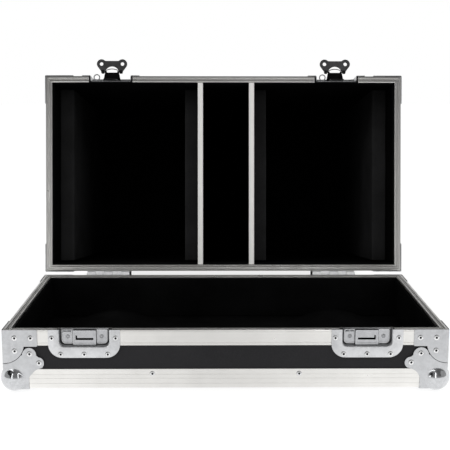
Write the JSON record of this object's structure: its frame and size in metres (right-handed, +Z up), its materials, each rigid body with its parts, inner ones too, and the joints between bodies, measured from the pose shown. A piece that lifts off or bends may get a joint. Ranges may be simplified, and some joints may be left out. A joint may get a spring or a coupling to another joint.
{
  "type": "hinged transport case",
  "caption": "Open transport case of black laminated boards in aluminium edging, with a shallow foam-lined base, a deep hinged hood with dividers, butterfly latches and ball corners.",
  "frame": {"origin": "on the floor under the middle of the open case, which stands on the ball corners of its base and of its hood's far end", "axes": "+X along the case's width to the right, -Y out of the latched front, +Y towards the hinges and the open hood, +Z up"},
  "size_m": [0.716, 1.0989, 0.5213],
  "materials": {
    "aluminium": "satin",
    "zinc": "gloss",
    "black_steel": "satin",
    "laminate": "satin",
    "divider_board": "matte",
    "foam": "matte",
    "grip": "matte"
  },
  "bodies": {
    "base": {"base_panel": "laminate", "base_front_wall": "laminate", "base_back_wall": "laminate", "base_left_wall": "laminate", "base_right_wall": "laminate", "base_rim": "aluminium", "base_edge_frame": "aluminium", "base_ball_corner_front_left": "zinc", "base_corner_plate_front_left": "zinc", "base_ball_corner_front_right": "zinc", "base_corner_plate_front_right": "zinc", "base_ball_corner_back_left": "zinc", "base_corner_plate_back_left": "zinc", "base_ball_corner_back_right": "zinc", "base_corner_plate_back_right": "zinc", "base_lining": "foam", "base_latch_dish_left": "zinc", "hinge_base_leaf_left": "zinc", "base_latch_dish_right": "zinc", "hinge_base_leaf_right": "zinc", "base_floor_foam": "foam"},
    "hood": {"hood_panel": "laminate", "hood_front_wall": "laminate", "hood_back_wall": "laminate", "hood_left_wall": "laminate", "hood_right_wall": "laminate", "hood_rim": "aluminium", "hood_edge_frame": "aluminium", "hood_ball_corner_front_left": "zinc", "hood_corner_plate_front_left": "zinc", "hood_ball_corner_front_right": "zinc", "hood_corner_plate_front_right": "zinc", "hood_ball_corner_back_left": "zinc", "hood_corner_plate_back_left": "zinc", "hood_ball_corner_back_right": "zinc", "hood_corner_plate_back_right": "zinc", "hood_lining": "foam", "hood_latch_dish_left": "black_steel", "hinge_hood_leaf_left": "zinc", "divider_left": "divider_board", "divider_cap_left": "aluminium", "handle_dish_left": "zinc", "hood_latch_dish_right": "black_steel", "hinge_hood_leaf_right": "zinc", "divider_right": "divider_board", "divider_cap_right": "aluminium", "handle_dish_right": "zinc", "pad_left_outer": "foam", "pad_left_inner": "foam", "pad_right_inner": "foam", "pad_right_outer": "foam"},
    "latch_tongue_left": {"latch_tongue_left": "black_steel"},
    "latch_hub_left": {"latch_hub_left": "black_steel"},
    "latch_wing_left": {"latch_wing_left": "black_steel"},
    "handle_grip_left": {"handle_grip_left": "grip"},
    "latch_tongue_right": {"latch_tongue_right": "black_steel"},
    "latch_hub_right": {"latch_hub_right": "black_steel"},
    "latch_wing_right": {"latch_wing_right": "black_steel"},
    "handle_grip_right": {"handle_grip_right": "grip"}
  },
  "joints": [
    {"name": "hood_hinge", "type": "hinge", "parent": "base", "child": "hood", "pos_m": [0, -0.15158, 0.104], "axis": [1, 0, 0], "range_deg": [0, 99.35]},
    {"name": "latch_turn_left", "type": "hinge", "parent": "hood", "child": "latch_hub_left", "pos_m": [-0.2225, -0.06201, 0.4845], "axis": [0, 0.1626, 0.9867], "range_deg": [0, 180]},
    {"name": "latch_fold_left", "type": "hinge", "parent": "latch_hub_left", "child": "latch_wing_left", "pos_m": [-0.2225, -0.06006, 0.49634], "axis": [1, 0, 0], "range_deg": [-86, 86]},
    {"name": "latch_slide_left", "type": "slide", "parent": "hood", "child": "latch_tongue_left", "axis": [0, 0.9867, -0.1626], "range_m": [0, 0.008]},
    {"name": "latch_turn_right", "type": "hinge", "parent": "hood", "child": "latch_hub_right", "pos_m": [0.2225, -0.06201, 0.4845], "axis": [0, 0.1626, 0.9867], "range_deg": [0, 180]},
    {"name": "latch_fold_right", "type": "hinge", "parent": "latch_hub_right", "child": "latch_wing_right", "pos_m": [0.2225, -0.06006, 0.49634], "axis": [1, 0, 0], "range_deg": [-86, 86]},
    {"name": "latch_slide_right", "type": "slide", "parent": "hood", "child": "latch_tongue_right", "axis": [0, 0.9867, -0.1626], "range_m": [0, 0.008]},
    {"name": "handle_pull_left", "type": "hinge", "parent": "hood", "child": "handle_grip_left", "pos_m": [-0.3453, 0.19685, 0.24724], "axis": [0, -0.1626, -0.9867], "range_deg": [0, 90], "stiffness_Nm_per_rad": 0.15, "springref_deg": -28.65},
    {"name": "handle_pull_right", "type": "hinge", "parent": "hood", "child": "handle_grip_right", "pos_m": [0.3453, 0.19685, 0.24724], "axis": [0, 0.1626, 0.9867], "range_deg": [0, 90], "stiffness_Nm_per_rad": 0.15, "springref_deg": -28.65}
  ],
  "couplings": [
    {"joint": "latch_slide_left", "follows": "latch_turn_left", "m_per_rad": 0.002546},
    {"joint": "latch_slide_right", "follows": "latch_turn_right", "m_per_rad": 0.002546}
  ]
}
